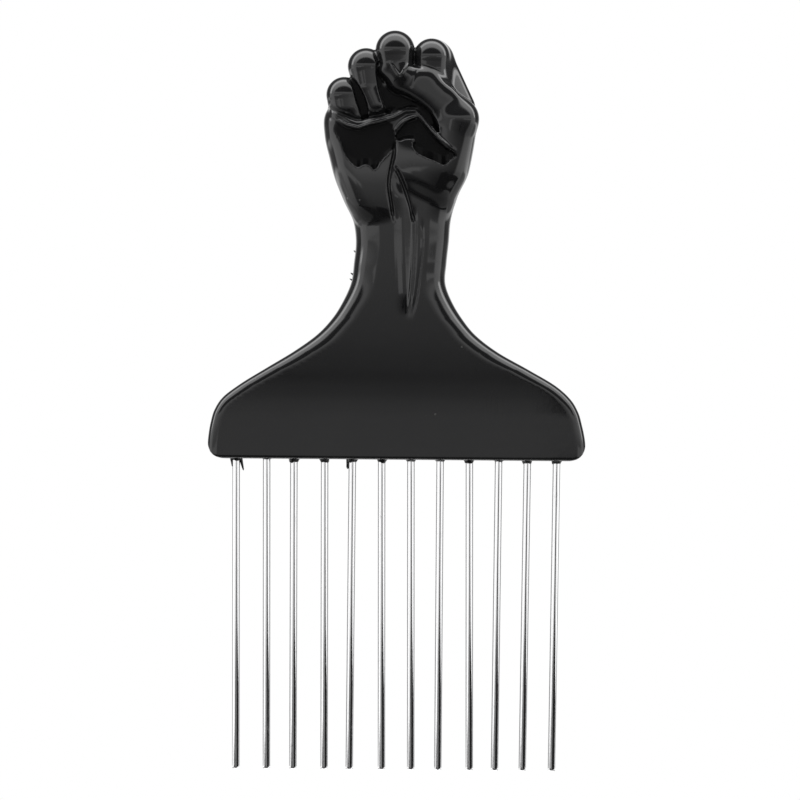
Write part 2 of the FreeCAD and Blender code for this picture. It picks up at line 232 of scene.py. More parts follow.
def studio_world():
    """Paint the room that the gloss reflects."""
    world = bpy.data.worlds.new("studio")
    world.use_nodes = True
    tree = world.node_tree
    tree.nodes.clear()
    ray = add(tree, "ShaderNodeTexCoord").outputs["Generated"]
    x, y, z = add(tree, "ShaderNodeSeparateXYZ", {0: ray}).outputs
    elevation = calc(tree, "DEGREES", calc(tree, "ARCSINE", z))
    azimuth = calc(tree, "DEGREES", calc(tree, "ARCTAN2", x, calc(tree, "MULTIPLY", y, -1.0)))
    from_lens = lens_angle(tree, x, y, z, ROOM_NARROWING)
    from_panel = lens_angle(tree, x, y, z, PANEL_NARROWING)
    front = by_elevation(tree, elevation, FRONT_TONES)
    ring = by_elevation(tree, elevation, RING_TONES)
    back = by_elevation(tree, elevation, BACK_TONES)
    room = mix_tones(tree, eased_step(tree, from_panel, *PANEL_EDGE), front, ring)
    arch = eased_step(tree, from_panel, *reversed(PANEL_EDGE))
    gap = calc(tree, "MULTIPLY", arch, eased_step(tree, elevation, *GAP_CLIMB))
    room = mix_tones(tree, gap, room, grey(GAP_TONE))
    room = mix_tones(tree, eased_step(tree, from_lens, *RING_EDGE), room, back)
    lit_places = [(from_lens, *LAMP_RIM)] + [(azimuth, *card) for card in WHITE_CARDS]
    for angle, across, climb, tone in lit_places:
        mask = calc(tree, "MULTIPLY", band(tree, angle, *across), band(tree, elevation, *climb))
        room = mix_tones(tree, mask, room, grey(tone))
    white = shows_white(tree, eased_step(tree, from_lens, *BACKDROP_EDGE))
    colour = mix_tones(tree, white, room, grey(1.0))
    shade = add(tree, "ShaderNodeBackground", {"Color": colour, "Strength": 1.0})
    add(tree, "ShaderNodeOutputWorld", {"Surface": shade.outputs[0]})
    return world


scene.world = studio_world()
print("studio nodes:", len(scene.world.node_tree.nodes))

# %% [markdown]
# ## Floor
# The pick hangs a few centimetres above a small pale floor. The floor glows a little towards the lens and
# to mirror rays, so that it meets the white backdrop without a line, and it still takes its shadow from the
# lamp. A wide floor close to the tips would be simpler, but bright wires that mirror it look pointed.

# %% Floor
FLOOR_FRONT, FLOOR_BACK, FLOOR_SIDE = -0.03, 0.14, 0.08
FLOOR_DROP = 0.06
FLOOR_LEVEL = cad_box[0][2] - FLOOR_DROP
FLOOR_TONES = (0.8, 0.84)
FLOOR_GLOW = 0.62
# Distances from the floor's middle between which the glow towards mirrors sets in
GLOW_EDGE = (0.085, 0.03)


def new_material(name):
    """An empty material with its tree and the piece's own coordinates."""
    material = bpy.data.materials.new(name)
    material.use_nodes = True
    tree = material.node_tree
    tree.nodes.clear()
    return material, tree, add(tree, "ShaderNodeTexCoord").outputs["Object"]


def new_piece(name, points, faces):
    """An object made of points and faces, linked into the scene."""
    mesh = bpy.data.meshes.new(name)
    mesh.from_pydata(points, [], faces)
    piece = bpy.data.objects.new(name, mesh)
    scene.collection.objects.link(piece)
    return piece


def floor_material():
    """A pale matt floor that reaches white where the lamp lights it."""
    material, tree, place = new_material("pale_floor")
    mottle = add(tree, "ShaderNodeTexNoise", {"Vector": place, "Scale": 14.0, "Detail": 4.0}).outputs["Fac"]
    pale = mix_tones(tree, mottle, *map(grey, FLOOR_TONES))
    matt = add(tree, "ShaderNodeBsdfDiffuse", {"Color": pale})
    # Towards mirrors the glow fades at the rim, so that gloss shows a soft pool and no hard corner
    middle = (0.0, (FLOOR_FRONT + FLOOR_BACK) / 2, FLOOR_LEVEL)
    away = vector_calc(tree, "DISTANCE", place, middle)
    seen = shows_white(tree, eased_step(tree, away, *GLOW_EDGE))
    glow = add(tree, "ShaderNodeEmission", {"Strength": calc(tree, "MULTIPLY", seen, FLOOR_GLOW)})
    both = add(tree, "ShaderNodeAddShader", {0: matt.outputs[0], 1: glow.outputs[0]})
    add(tree, "ShaderNodeOutputMaterial", {"Surface": both.outputs[0]})
    return material


def pale_floor():
    """A flat floor below the tine tips."""
    corners = [
        (-FLOOR_SIDE, FLOOR_FRONT, FLOOR_LEVEL),
        (FLOOR_SIDE, FLOOR_FRONT, FLOOR_LEVEL),
        (FLOOR_SIDE, FLOOR_BACK, FLOOR_LEVEL),
        (-FLOOR_SIDE, FLOOR_BACK, FLOOR_LEVEL),
    ]
    floor = new_piece("floor", corners, [(0, 1, 2, 3)])
    floor.data.materials.append(floor_material())
    return floor


pale_floor()
print("floor level in mm:", round(FLOOR_LEVEL / MM, 1))

# %% [markdown]
# ## Black cards
# Bright wire looks round only where it mirrors something dark, so low black cards stand in an arc beside the
# lens. The world could be painted dark there, but it is endlessly far away and looks nearly the same from
# both ends of a wire. The lower part of a wire mirrors a lower part of a strip close by, so the top of the
# strip says how far up the wire its dark line runs. Only mirror rays see the cards.

# %% Black cards
# Start and end of the arc in degrees to the right of the lens, and the card's top at both in metres
CARD_ARCS = (
    (9, 27, -0.053, -0.053), (27, 40, -0.066, -0.1), (40, 98, -0.1, -0.124), (-66, -48, -0.142, -0.132),
    (-48, -36, -0.132, -0.146), (-26, -16, -0.125, -0.108), (-16, -5, -0.108, -0.104),
)
CARD_FOOT = -0.17
CARD_DISTANCE = 0.3
CARD_STEPS = 12
CARD_TONE = 0.02


def card_black():
    """A matt black that is the same all over."""
    material, tree, _ = new_material("card_black")
    matt = add(tree, "ShaderNodeBsdfDiffuse", {"Color": grey(CARD_TONE)})
    add(tree, "ShaderNodeOutputMaterial", {"Surface": matt.outputs[0]})
    return material


def dark_cards():
    """Black cards beside the lens that draw the dark lines on the wires."""
    points, faces = [], []
    for start, end, first_top, last_top in CARD_ARCS:
        first = len(points)
        angles = np.radians(np.linspace(start, end, CARD_STEPS))
        for angle, top in zip(angles, np.linspace(first_top, last_top, CARD_STEPS)):
            x, y = CARD_DISTANCE * math.sin(angle), -CARD_DISTANCE * math.cos(angle)
            points += [(x, y, CARD_FOOT), (x, y, top)]
        for step in range(first, len(points) - 2, 2):
            faces.append((step, step + 1, step + 3, step + 2))
    cards = new_piece("dark_cards", points, faces)
    cards.data.materials.append(card_black())
    cards.visible_camera = cards.visible_diffuse = cards.visible_shadow = False
    return cards


dark_cards()
print("black cards:", len(CARD_ARCS))

# %% [markdown]
# ## Lamp
# One wide soft lamp, up in front and to the left, lights the floor and gives it the faint shadow. The gloss
# shows the painted room and not the lamp, so mirror rays pass it by.

# %% Lamp
LAMP_SIZE = 0.7
LAMP_POWER = 5.0
LAMP_PLACE = (-0.35, -0.55, 0.75)
LAMP_TILT, LAMP_TURN = math.radians(40), math.radians(-32)


def soft_lamp():
    """A wide square lamp that mirror rays don't see."""
    data = bpy.data.lights.new("soft_lamp", "AREA")
    data.size = LAMP_SIZE
    data.energy = LAMP_POWER
    lamp = bpy.data.objects.new("soft_lamp", data)
    lamp.location = LAMP_PLACE
    lamp.rotation_euler = (LAMP_TILT, 0.0, LAMP_TURN)
    lamp.visible_glossy = False
    scene.collection.objects.link(lamp)
    return lamp


print("lamp power in watts:", soft_lamp().data.energy)

# %% [markdown]
# ## Sculpting with distances
# The fist is one flowing moulded form of balls, rolls and creases. It could be pushed about in sculpt mode,
# but a script does it more surely with signed distances: a formula says how far each point in space lies
# from a form, and the smaller of two distances joins two forms. A soft minimum fills the crease between
# them, as flesh or mould radii do. Points are given in millimetres as across, forward of the seam, height.

# %% Distances to simple forms


def soft_union(first, second, blend):
    """Join two forms and fill the crease between them over the width of the blend."""
    reach = np.maximum(blend - np.abs(first - second), 0) / blend
    return np.minimum(first, second) - reach * reach * blend / 4


def soft_common(first, second, blend):
    """Keep what lies in both forms, with the edge rounded over the blend."""
    return -soft_union(-first, -second, blend)


def round_cone(place, start, end):
    """Distance to two balls wrapped in one cone; each ball is across, forward, height, radius."""
    start, end = np.array(start), np.array(end)
    span = end[:3] - start[:3]
    length = np.linalg.norm(span)
    offsets = [coordinate - origin for coordinate, origin in zip(place, start)]
    along = sum(offset * step for offset, step in zip(offsets, span / length))
    aside = np.sqrt(np.maximum(sum(offset * offset for offset in offsets) - along * along, 0))
    lean = (start[3] - end[3]) / length
    square = math.sqrt(1 - lean * lean)
    share = np.clip((along - aside * lean / square) / length, 0, 1)
    return np.hypot(aside, along - share * length) - (start[3] + share * (end[3] - start[3]))


def limb(place, joints, blend):
    """A chain of round cones through several joints."""
    parts = [round_cone(place, start, end) for start, end in zip(joints, joints[1:])]
    shape = parts[0]
    for part in parts[1:]:
        shape = soft_union(shape, part, blend)
    return shape


def ellipsoid(place, centre, radii):
    """A close estimate of the distance to an ellipsoid."""
    offsets = [coordinate - middle for coordinate, middle in zip(place, centre)]
    near = np.sqrt(sum((offset / radius) ** 2 for offset, radius in zip(offsets, radii)))
    slope = np.sqrt(sum((offset / radius ** 2) ** 2 for offset, radius in zip(offsets, radii)))
    return near * (near - 1) / np.maximum(slope, 1e-6)


def smooth_curve(places, values, at):
    """A smooth curve through knots, level past its ends."""
    at = np.clip(at, places[0], places[-1])
    slopes = np.gradient(values, places)
    span = np.clip(np.searchsorted(places, at) - 1, 0, len(places) - 2)
    width = places[span + 1] - places[span]
    share = (at - places[span]) / width
    rise = values[span + 1] - values[span]
    start, end = slopes[span] * width, slopes[span + 1] * width
    bend = 3 * rise - 2 * start - end + share * (start + end - 2 * rise)
    return values[span] + share * (start + share * bend)


ball_test = round_cone((np.array([3.0]), np.array([0.0]), np.array([0.0])), (0, 0, 0, 1), (0, 0, 5, 1))
print("a point 3 mm from the axis of a 1 mm limb lies", float(ball_test[0]), "mm outside it")

# %% [markdown]
# ## The core: base, neck, wrist and palm
# Seen from the front, the handle is a flat-footed flare that draws in to a wrist and opens to a palm. Each
# level is a rounded rectangle, and its sides follow smooth curves through a few measured levels. That is
# how a mould maker lofts such a form, and it keeps the flat front of the base truly flat.

# %% Core
UNDERSIDE = -46.5
FOOT_ROUND = 0.9
FOOT_CORNER = 4.6
# Height, then how far the core reaches left, right, forward and back, and its corner radius
CORE_LEVELS = np.array((
    (-46.5, 44.7, 44.7, 4.50, 4.4, 2.6),
    (-42.0, 44.5, 44.6, 4.52, 4.5, 2.6),
    (-38.0, 43.9, 43.8, 4.56, 4.6, 2.6),
    (-35.0, 43.0, 42.9, 4.62, 4.7, 2.6),
    (-32.0, 41.0, 41.1, 4.76, 4.8, 2.7),
    (-29.0, 37.1, 37.8, 5.02, 4.9, 2.8),
    (-25.0, 30.7, 31.0, 5.50, 5.1, 3.1),
    (-21.0, 24.2, 23.8, 5.92, 5.4, 3.6),
    (-17.0, 18.8, 18.5, 6.26, 5.8, 4.2),
    (-13.0, 15.2, 15.2, 6.54, 6.3, 4.8),
    (-9.0, 12.8, 12.8, 6.78, 6.7, 5.4),
    (-5.0, 11.1, 11.3, 6.98, 7.0, 5.9),
    (0.0, 10.4, 11.5, 7.18, 7.3, 6.2),
    (5.0, 10.0, 12.0, 7.32, 7.5, 6.4),
    (10.0, 10.7, 12.4, 7.40, 7.8, 6.6),
    (15.0, 12.8, 13.6, 7.50, 8.1, 6.4),
    (20.0, 15.0, 15.0, 7.50, 8.4, 6.2),
    (25.0, 16.5, 16.4, 7.30, 8.6, 6.2),
    (30.0, 17.6, 17.2, 7.20, 8.6, 6.2),
    (35.0, 17.5, 16.6, 7.20, 8.4, 6.2),
    (40.0, 14.0, 13.6, 6.40, 7.6, 5.6),
    (45.0, 10.6, 10.4, 5.40, 6.6, 4.6),
))
CORE_TOP = 45.0
CORE_TOP_ROUND = 4.0


def level(height, column):
    """One column of the levels as a smooth curve over the height."""
    return smooth_curve(CORE_LEVELS[:, 0], CORE_LEVELS[:, column], height)


def outline(place):
    """Distance to the handle's outline as seen from the front."""
    across, _, height = place
    step = 0.05
    reaches = []
    for side, column in ((-1, 1), (1, 2)):
        slope = (level(height + step, column) - level(height - step, column)) / (2 * step)
        reaches.append((side * across - level(height, column)) / np.sqrt(1 + slope ** 2))
    return np.maximum(*reaches)


def core(place):
    """The lofted core of the handle."""
    _, forward, height = place
    corner = level(height, 5)
    sideways = outline(place) + corner
    depthways = np.where(forward > 0, forward - level(height, 3), -forward - level(height, 4)) + corner
    inside = np.minimum(np.maximum(sideways, depthways), 0)
    wall = np.hypot(np.maximum(sideways, 0), np.maximum(depthways, 0)) + inside - corner
    wall = soft_common(wall, UNDERSIDE - height, FOOT_ROUND)
    wall = np.maximum(wall, soft_common(outline(place), UNDERSIDE - height, FOOT_CORNER))
    return soft_common(wall, height - CORE_TOP, CORE_TOP_ROUND)


print("core levels:", len(CORE_LEVELS))

# %% [markdown]
# ## Fingers, thumb and flesh
# Each curled finger is a limb that runs from its knuckle on the back over the top and down the front. The
# thumb lies across them with a flat face, and the side of the pointer is flat too. The ball of the thumb and
# the heel of the palm are pads, and hollows lie between the pads and the fingers. Limbs meet in sharp clefts,
# so they blend over half a millimetre, while flesh blends over more.

# %% Sizes of the hand
# Joints of the limbs: across, forward, height and radius
FINGERS = {
    "little": ((-13.0, -5.6, 39.7, 4.1), (-13.0, 4.0, 39.4, 4.2), (-12.6, 4.0, 36.6, 4.1)),
    "ring": ((-7.8, -5.6, 46.4, 4.2), (-7.9, 4.6, 46.1, 4.3), (-7.3, 5.3, 41.2, 3.4), (-5.5, 6.0, 37.0, 2.7)),
    "middle": (
        (-1.1, -5.6, 50.2, 4.5), (-1.1, 5.6, 49.9, 4.6), (-0.9, 5.7, 46.9, 4.2), (0.2, 7.7, 44.2, 2.4),
    ),
    "pointer": ((7.4, -5.6, 48.7, 4.2), (7.5, 4.6, 48.5, 4.3), (7.4, 4.4, 45.6, 4.2), (8.0, 4.8, 40.0, 4.0)),
}
POINTER_FLANK = ((8.6, 1.8, 47.6, 4.3), (13.4, 2.4, 36.6, 4.6))
THUMB = (
    (-3.4, 7.0, 45.0, 1.3), (0.6, 6.5, 43.2, 3.3), (5.8, 7.4, 41.6, 3.9), (10.2, 7.2, 37.9, 3.8),
    (13.7, 5.7, 33.8, 4.9),
)
THUMB_SHANK = (THUMB[-1], (10.8, 3.6, 23.0, 5.4))
# How far forward the thumb's flat face lies
THUMB_FACE = 9.7
# Shares of across, forward and height that give the flank's facing, and how far out its flat lies
FLANK_FACE = (0.407, 0.914, 0.255)
FLANK_REACH = 20.4
# Where the bones end on the back of the hand: across for each, then forward, height and radius for all
BONE_FEET = {"little": -5.35, "ring": -1.45, "middle": 2.45, "pointer": 6.35}
BONE_FOOT = (-3.4, 13.5, 4.4)
# Middles and radii of the pads
THUMB_BALL = ((7.2, 3.2, 23.0), (10.4, 6.6, 14.6))
PALM_HEEL = ((-7.2, 3.0, 19.0), (9.4, 5.9, 17.0))
# The slanting foot of the ball: across and height of a point on it, and its slope; the heel's foot is level
BALL_FOOT = (12.2, 12.9, 0.47)
HEEL_FOOT = 10.2
# Widths over which forms run into each other
BLENDS = {
    "finger_joints": 0.1, "knuckle_to_bone": 0.8, "between_fingers": 0.5, "flank_face": 2.0,
    "pointer_flank": 2.2, "fingers": 0.6, "knuckles": 1.6,
    "thumb_joints": 0.6, "thumb_face": 1.4, "thumb_shank": 3.0, "thumb": 1.0,
    "ball_foot": 3.2, "heel_foot": 3.0, "between_pads": 0.5, "pads_in_outline": 5.0, "pads": 1.8,
    "hollow_rim": 0.3,
}
print("limbs:", len(FINGERS) + 1)

# %% Hollows of the palm
# Hollows seen from the front: the floor's depth at a height, that height, and the corners, across and height
HOLLOWS = {
    "under_fingers": (6.4, 33.0, (
        (-16.2, 33.9), (-13.0, 32.4), (-10.2, 30.9), (-6.4, 32.2), (-1.8, 33.3), (-0.6, 28.4), (-1.4, 26.5),
        (-4.1, 23.8), (-5.6, 21.2), (-6.8, 22.6), (-8.2, 22.9), (-9.4, 22.0), (-11.0, 22.9), (-12.9, 25.3),
        (-13.8, 28.3), (-15.8, 31.8),
    )),
    "above_ball": (6.9, 35.0, (
        (-0.9, 29.6), (0.4, 31.6), (3.6, 34.9), (6.0, 32.5), (10.0, 27.5), (13.8, 25.3), (12.2, 24.0),
        (10.7, 22.5), (8.8, 23.6), (6.1, 24.6), (4.0, 25.7), (3.0, 27.5), (4.2, 28.7), (1.9, 29.0),
        (-0.4, 28.3),
    )),
    "under_thumb": (7.2, 46.0, (
        (-4.4, 47.5), (-3.9, 42.5), (-2.3, 40.8), (0.4, 39.2), (4.9, 37.2), (8.0, 35.4), (9.2, 33.0),
        (9.6, 29.6), (7.0, 32.9), (3.8, 36.7), (0.0, 35.6), (-2.2, 34.6), (-3.2, 35.6), (-4.8, 39.5),
        (-5.7, 46.0),
    )),
    "little_cleft": (6.0, 43.0, (
        (-11.6, 43.6), (-9.8, 42.0), (-7.7, 38.0), (-7.2, 34.4), (-8.8, 33.6), (-9.8, 36.8), (-11.2, 41.6),
    )),
}
FLOOR_LEAN = math.tan(math.radians(14))
CORNER_CUTS = (0.25, 0.75)


def rounded(corners):
    """Cut each corner of a closed outline off a quarter of the way along its sides."""
    starts = np.array(corners)
    ends = np.roll(starts, -1, axis=0)
    cuts = [(1 - share) * starts + share * ends for share in CORNER_CUTS]
    return np.stack(cuts, axis=1).reshape(-1, 2).tolist()


HOLLOW_EDGES = {name: rounded(corners) for name, (_, _, corners) in HOLLOWS.items()}


def within(place, corners):
    """Distance to the edge of a many-sided field seen from the front, negative inside it."""
    across, _, height = place
    nearest, inside = np.inf, False
    for (x, z), (next_x, next_z) in zip(corners, corners[1:] + corners[:1]):
        step_x, step_z = next_x - x, next_z - z
        share = np.clip(((across - x) * step_x + (height - z) * step_z) / (step_x ** 2 + step_z ** 2), 0, 1)
        nearest = np.minimum(nearest, np.hypot(across - x - share * step_x, height - z - share * step_z))
        if step_z:
            spans = (z > height) != (next_z > height)
            inside = inside ^ (spans & (across < x + step_x * (height - z) / step_z))
    return np.where(inside, -nearest, nearest)


def scooped(place, body, *names):
    """Cut hollows into the palm; their floors lean so that they face down."""
    for name in names:
        deep, top, _ = HOLLOWS[name]
        floor = deep - FLOOR_LEAN * (top - place[2])
        hollow = np.maximum(within(place, HOLLOW_EDGES[name]), floor - place[1])
        body = soft_common(body, -hollow, BLENDS["hollow_rim"])
    return body


print("hollows:", ", ".join(HOLLOWS))

# %% Forms of the hand


def fingers(place, side):
    """The four fingers and the pointer's flank, on the front or on the back of the hand."""
    shape = None
    for name, joints in FINGERS.items():
        if side == "front":
            finger = limb(place, joints, BLENDS["finger_joints"])
        else:
            foot = (BONE_FEET[name], *BONE_FOOT)
            finger = limb(place, (foot, *joints[:2]), BLENDS["knuckle_to_bone"])
        if name == "pointer":
            face = sum(share * coordinate for share, coordinate in zip(FLANK_FACE, place)) - FLANK_REACH
            face = face / np.linalg.norm(FLANK_FACE)
            flank = soft_common(round_cone(place, *POINTER_FLANK), face, BLENDS["flank_face"])
            finger = soft_union(finger, flank, BLENDS["pointer_flank"])
        shape = finger if shape is None else soft_union(shape, finger, BLENDS["between_fingers"])
    return shape


def pads(place):
    """The ball of the thumb and the heel of the palm, kept inside the hand's outline."""
    across, height, slope = BALL_FOOT
    foot = (height + slope * (across - place[0]) - place[2]) / math.hypot(1, slope)
    ball = soft_common(ellipsoid(place, *THUMB_BALL), foot, BLENDS["ball_foot"])
    heel = soft_common(ellipsoid(place, *PALM_HEEL), HEEL_FOOT - place[2], BLENDS["heel_foot"])
    flesh = soft_union(ball, heel, BLENDS["between_pads"])
    return soft_common(flesh, outline(place), BLENDS["pads_in_outline"])


def thumb(place):
    """The thumb with its flat face."""
    whole = limb(place, THUMB, BLENDS["thumb_joints"])
    return soft_common(whole, place[1] - THUMB_FACE, BLENDS["thumb_face"])


print("blends in mm:", min(BLENDS.values()), "to", max(BLENDS.values()))

# %% [markdown]
# ## Creases, tendon and folds
# Fine lines in the mould follow curves that lie in the plane of the picture. Each one is a short list of
# points with a smooth curve through them, a width and a depth. Near the curve the surface is lowered for a
# crease or raised for a ridge, only on the palm side.

# %% Lines of the palm
# Width, depth (negative stands proud) and the points, across and height
PALM_LINES = {
    "life_line": (0.4, 0.6, (
        (-0.7, 28.6), (-1.2, 24.8), (-1.8, 22.0), (-2.3, 18.2), (-1.7, 14.0), (-1.0, 9.0),
    )),
    "ball_edge": (0.4, 0.5, ((-1.1, 23.0), (0.8, 19.0), (2.7, 13.5), (3.6, 9.0))),
    "tendon": (1.3, -0.6, ((-0.2, 20.0), (0.9, 11.0), (1.2, 3.0), (1.6, -5.0), (2.0, -12.5))),
    "tendon_groove": (0.6, 0.5, ((3.6, 14.0), (3.6, 5.0), (3.4, -2.0), (3.0, -8.0), (2.6, -13.5))),
    "groove_edge": (0.35, 0.25, ((5.6, 11.0), (5.7, 3.6), (5.0, -3.3), (4.3, -8.5), (3.2, -13.5))),
    "crest": (0.36, -0.5, (
        (-17.2, 35.2), (-13.6, 32.8), (-10.4, 31.4), (-6.7, 32.5), (-2.4, 33.5), (3.6, 35.8), (7.0, 31.6),
        (10.2, 28.3), (14.2, 25.6),
    )),
    "finger_feet": (0.5, 0.55, (
        (-17.6, 36.6), (-13.0, 34.6), (-9.4, 33.4), (-6.4, 34.3), (-3.2, 35.0), (-1.0, 36.5),
    )),
    "second_fold": (0.4, -0.4, ((-1.2, 30.6), (0.8, 32.8), (4.6, 34.3))),
    "nail_edge": (0.35, 0.12, ((4.1, 45.4), (3.6, 43.6), (2.5, 40.6))),
    "finger_fold": (0.3, -0.3, ((-2.2, 46.8), (-1.0, 44.9), (0.1, 43.6), (1.1, 45.0), (2.4, 46.9))),
}
# Share of a line's length over which each end fades, and the number of points along it
LINE_FADE = 0.16
LINE_STEPS = 14
# How far forward of the seam the lines set in, and over what depth
LINES_FROM, LINES_OVER = 2.0, 2.0


def curve_points(points):
    """Points along a smooth curve through the given ones."""
    points = np.array(points)
    lengths = np.hypot(*np.diff(points, axis=0).T)
    stations = np.concatenate(([0.0], np.cumsum(lengths)))
    at = np.linspace(0, stations[-1], LINE_STEPS)
    return np.stack([smooth_curve(stations, points[:, column], at) for column in (0, 1)], axis=1)


def nearness(place, path, width):
    """How near a point lies to a path when seen from the front: 1 on it, and 0 past its fading ends."""
    across, _, height = place
    nearest, progress = np.inf, 0.0
    for number, ((start_x, start_z), (end_x, end_z)) in enumerate(zip(path, path[1:])):
        step_x, step_z = end_x - start_x, end_z - start_z
        from_x, from_z = across - start_x, height - start_z
        share = np.clip((from_x * step_x + from_z * step_z) / (step_x ** 2 + step_z ** 2), 0, 1)
        apart = np.hypot(from_x - share * step_x, from_z - share * step_z)
        progress = np.where(apart < nearest, (number + share) / (len(path) - 1), progress)
        nearest = np.minimum(nearest, apart)
    fade = np.clip(np.minimum(progress, 1 - progress) / LINE_FADE, 0, 1)
    return np.exp(-(nearest / width) ** 2) * fade * fade * (3 - 2 * fade)


LINE_PATHS = {name: curve_points(points) for name, (_, _, points) in PALM_LINES.items()}


def line_relief(place):
    """How much the lines lower the palm side at a point."""
    relief = 0.0
    for name, (width, depth, _) in PALM_LINES.items():
        relief = relief + depth * nearness(place, LINE_PATHS[name], width)
    return relief * np.clip((place[1] - LINES_FROM) / LINES_OVER, 0, 1)


print("lines:", ", ".join(PALM_LINES))

# %% [markdown]
# ## Two halves and their seam
# The handle is moulded in two halves that are joined along its sides. Their edges are rounded a little, so
# the seam shows as a fine groove all round. Hollows are cut before the limbs that lie over them are added.

# %% Halves
# Below this height the handle is the plain core
HAND_FOOT = -16.0
SEAM_GAP = 0.02
SEAM_ROUND = 0.4


def front_half(place):
    """The palm half, cut at the seam."""
    body = core(place)
    if place[2].max() > HAND_FOOT:
        body = soft_union(body, pads(place), BLENDS["pads"])
        body = soft_union(body, round_cone(place, *THUMB_SHANK), BLENDS["thumb_shank"])
        body = scooped(place, body, "under_fingers", "above_ball")
        body = soft_union(body, fingers(place, "front"), BLENDS["fingers"])
        body = scooped(place, body, "under_thumb", "little_cleft")
        body = soft_union(body, thumb(place), BLENDS["thumb"]) + line_relief(place)
    return soft_common(body, SEAM_GAP - place[1], SEAM_ROUND)


def rear_half(place):
    """The back of the hand, cut at the seam."""
    body = core(place)
    if place[2].max() > HAND_FOOT:
        body = soft_union(body, fingers(place, "rear"), BLENDS["knuckles"])
    return soft_common(body, place[1] + SEAM_GAP, SEAM_ROUND)


print("seam rounding in mm:", SEAM_ROUND)

# %% [markdown]
# ## From distances to a mesh
# A grid of distances becomes a mesh with surface nets: each grid cell that the surface passes through gets
# one vertex, and each grid edge that it crosses gets one face between the four cells round that edge. The
# vertices are then pulled onto the true surface, and the shading normals come from the distances too, so
# the gloss flows without facets.

# %% Slopes and grid planes
# Step for slopes, in millimetres
STEP = 0.03


def spaced(*stretches):
    """Grid planes: each stretch is a start, an end and a spacing, and the next one starts at its end."""
    planes = [np.arange(start, end - spacing / 2, spacing) for start, end, spacing in stretches]
    return np.concatenate(planes + [[stretches[-1][1]]])


def evaluate(field, points):
    """The field at a list of points, with the plain base worked out apart from the hand."""
    result = np.empty(len(points))
    low = points[:, 2] < HAND_FOOT
    for chosen in (low, ~low):
        if chosen.any():
            result[chosen] = field(tuple(points[chosen].T))
    return result


def slope_of(field, points):
    """Distance and its gradient at a list of points."""
    here = evaluate(field, points)
    gradient = np.empty_like(points)
    for axis in range(3):
        ahead = points.copy()
        ahead[:, axis] += STEP
        gradient[:, axis] = (evaluate(field, ahead) - here) / STEP
    return here, gradient


print("planes from 0 to 1 to 3:", spaced((0, 1, 0.5), (1, 3, 1)).tolist())

# %% Surface nets
# The distance given to filled corners, and how often the grid is gone over for them
FILLED = -0.01
FILL_ROUNDS = 3


def cell_corners(inside):
    """How many of each cell's eight corners lie inside."""
    rows, columns, layers = (size - 1 for size in inside.shape)
    count = np.zeros((rows, columns, layers), np.int8)
    for i in (0, 1):
        for j in (0, 1):
            for k in (0, 1):
                count += inside[i:rows + i, j:columns + j, k:layers + k]
    return count


def settle(values):
    """Fill grid squares that are inside and outside like a chessboard, so that no edge gets four faces."""
    for _ in range(FILL_ROUNDS):
        for axis in range(3):
            grid = np.moveaxis(values, axis, 0)
            corners = [grid[:, :-1, :-1], grid[:, 1:, :-1], grid[:, 1:, 1:], grid[:, :-1, 1:]]
            for first in (0, 1):
                inner, outer, across, other = (corners[(first + step) % 4] for step in range(4))
                crossed = (inner < 0) & (across < 0) & (outer >= 0) & (other >= 0)
                outer[crossed] = FILLED


def net_vertices(values, planes, cells):
    """One vertex for each cell, at the mean of the points where the surface crosses its edges."""
    total = np.zeros((len(cells), 3))
    crossings = np.zeros(len(cells))
    for axis in range(3):
        others = [other for other in range(3) if other != axis]
        for first in (0, 1):
            for second in (0, 1):
                start = cells.copy()
                start[:, others[0]] += first
                start[:, others[1]] += second
                end = start.copy()
                end[:, axis] += 1
                low, high = values[tuple(start.T)], values[tuple(end.T)]
                crossed = (low < 0) != (high < 0)
                share = np.where(crossed, low / np.where(crossed, low - high, 1), 0)
                point = np.stack([planes[a][start[:, a]] for a in range(3)], axis=1)
                point[:, axis] += share * (planes[axis][end[:, axis]] - planes[axis][start[:, axis]])
                total += np.where(crossed[:, None], point, 0)
                crossings += crossed
    return total / crossings[:, None]


def net_faces(inside, number):
    """One face round each grid edge that the surface crosses, turned outwards."""
    faces = []
    for axis in range(3):
        second, third = (axis + 1) % 3, (axis + 2) % 3
        low = np.moveaxis(inside, (axis, second, third), (0, 1, 2))
        numbers = np.moveaxis(number, (axis, second, third), (0, 1, 2))
        i, j, k = np.nonzero(low[:-1, 1:-1, 1:-1] != low[1:, 1:-1, 1:-1])
        leaving = low[i, j + 1, k + 1]
        cells = ((i, j, k), (i, j + 1, k), (i, j + 1, k + 1), (i, j, k + 1))
        ring = np.stack([numbers[cell] for cell in cells], axis=1)
        faces.append(np.where(leaving[:, None], ring[:, ::-1], ring))
    return np.concatenate(faces)


test_ball = np.linspace(-1, 1, 5) ** 2
test_cells = cell_corners(test_ball[:, None, None] + test_ball[:, None] + test_ball < 1)
print("cells that the skin of a ball passes through:", int(((test_cells > 0) & (test_cells < 8)).sum()))

# %% [markdown]
# ## The handle's two pieces
# The grid is fine round the hand, where the creases are, and coarser over the plain base. A Remesh modifier
# could skin such a form too, but it has one size of cell for all of it. Forward of the seam is towards the
# lens, so a point's forward becomes minus Y in the mesh.

# %% Sculpt the halves
ACROSS = spaced((-46.2, -20.4, 0.6), (-20.4, 20.4, 0.3), (20.4, 46.2, 0.6))
HEIGHTS = spaced((-48.0, -34.0, 0.4), (-34.0, -16.0, 0.75), (-16.0, 6.0, 0.5), (6.0, 57.0, 0.32))
FORWARD = spaced((-0.3, 0.9, 0.15), (0.9, 13.5, 0.3))
BACKWARD = spaced((-11.4, -1.2, 0.3), (-1.2, 0.3, 0.15))
